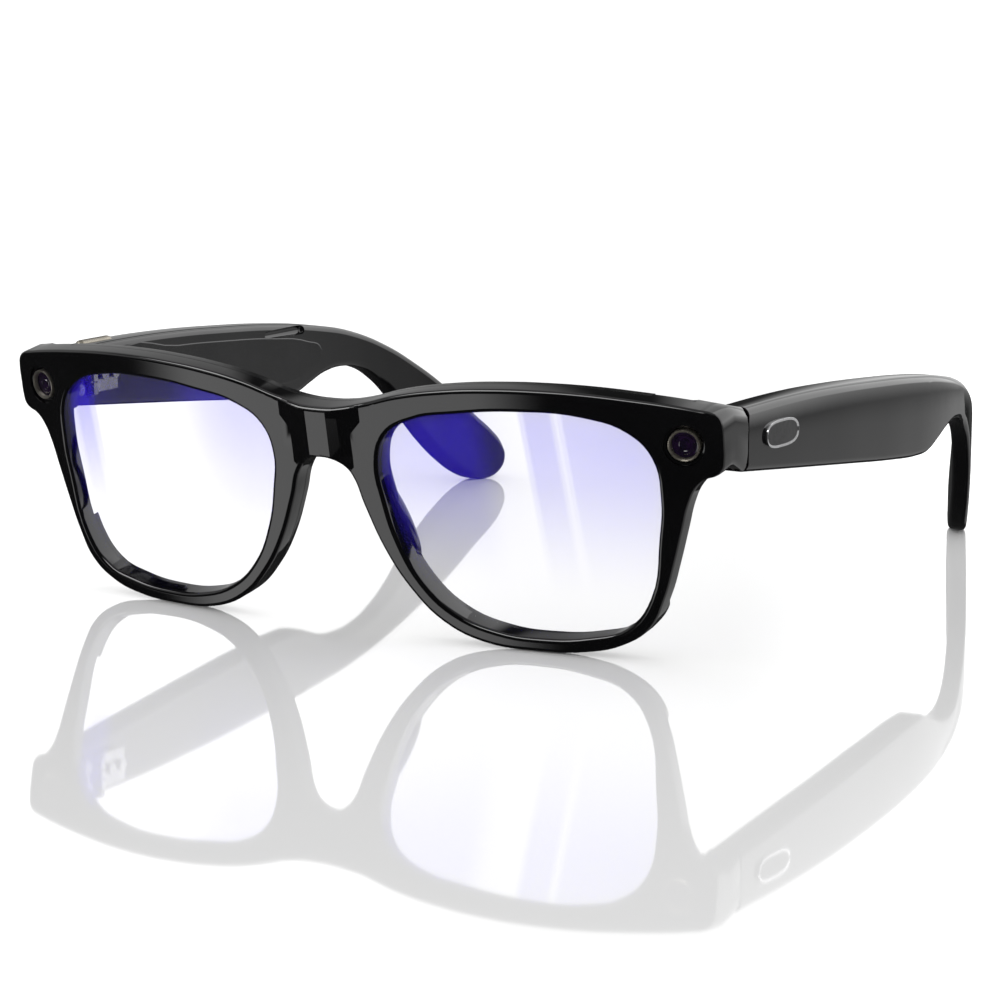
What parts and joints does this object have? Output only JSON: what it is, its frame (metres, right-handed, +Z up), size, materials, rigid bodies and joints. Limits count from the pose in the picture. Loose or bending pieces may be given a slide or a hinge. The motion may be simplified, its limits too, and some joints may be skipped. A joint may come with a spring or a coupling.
{
  "type": "smart glasses",
  "caption": "Black smart glasses with clear lenses, a camera and a lamp in the front corners, and thick folding temples that hold the electronics.",
  "frame": {"origin": "middle of the overall box at the surface the glasses stand on, open, on the rim bottoms and the temple tips", "axes": "+X towards the wearer's left, +Y back along the temples, +Z up"},
  "size_m": [0.144, 0.1522, 0.0456],
  "materials": {
    "black_shell": "polished",
    "inner_shell": "polished",
    "lens": "clear with a blue-violet coating",
    "warm_metal": "warm grey, satin",
    "ring_steel": "satin",
    "dark_glass": "near black",
    "brass": "plated",
    "bright_silver": "polished",
    "copper_flex": "printed film",
    "circuit_board": "solder mask",
    "foil": "satin",
    "mesh_steel": "woven",
    "black_part": "moulded",
    "hinge_steel": "satin"
  },
  "bodies": {
    "front": {"front_shell": "black_shell", "rear_cover": "inner_shell", "brow_flex": "copper_flex", "nose_microphone": "hinge_steel", "camera_ring": "warm_metal", "camera_window": "dark_glass", "camera_module": "black_part", "lamp_ring": "ring_steel", "lamp_window": "dark_glass", "lamp_module": "circuit_board", "lens_left": "lens", "charge_contact_left": "brass", "lens_right": "lens", "charge_contact_right": "brass", "hinge_front_leaf_left": "hinge_steel", "hinge_screw_left": "hinge_steel", "front_leaf_screw_lower_left": "hinge_steel", "front_leaf_screw_upper_left": "hinge_steel", "hinge_front_leaf_right": "hinge_steel", "hinge_screw_right": "hinge_steel", "front_leaf_screw_lower_right": "hinge_steel", "front_leaf_screw_upper_right": "hinge_steel"},
    "left_temple": {"temple_shell_left": "black_shell", "temple_cover_left": "inner_shell", "temple_plaque_left": "bright_silver", "hinge_temple_leaf_left": "hinge_steel", "temple_leaf_screw_front_left": "hinge_steel", "temple_leaf_screw_rear_left": "hinge_steel", "speaker_left": "black_part", "speaker_mesh_left": "mesh_steel", "battery_left": "foil", "battery_board_left": "circuit_board", "switch_body_left": "hinge_steel"},
    "right_temple": {"temple_shell_right": "black_shell", "temple_cover_right": "inner_shell", "temple_plaque_right": "bright_silver", "hinge_temple_leaf_right": "hinge_steel", "temple_leaf_screw_front_right": "hinge_steel", "temple_leaf_screw_rear_right": "hinge_steel", "speaker_right": "black_part", "speaker_mesh_right": "mesh_steel", "main_board_right": "circuit_board", "processor_shield_right": "foil", "touch_sensor_right": "copper_flex", "button_switch_right": "hinge_steel"},
    "capture_button": {"capture_button_right": "warm_metal"},
    "power_switch": {"power_switch_left": "black_part"}
  },
  "joints": [
    {"name": "left_hinge", "type": "hinge", "parent": "front", "child": "left_temple", "pos_m": [0.0626, -0.0558, 0.0372], "axis": [0, 0, 1], "range_deg": [0, 87]},
    {"name": "right_hinge", "type": "hinge", "parent": "front", "child": "right_temple", "pos_m": [-0.0626, -0.0558, 0.0372], "axis": [0, 0, -1], "range_deg": [0, 71]},
    {"name": "capture_press", "type": "slide", "parent": "right_temple", "child": "capture_button", "axis": [0, 0, -1], "range_m": [0, 0.0004], "stiffness_N_per_m": 600},
    {"name": "power_slide", "type": "slide", "parent": "left_temple", "child": "power_switch", "axis": [0, 1, 0], "range_m": [0, 0.002]}
  ]
}
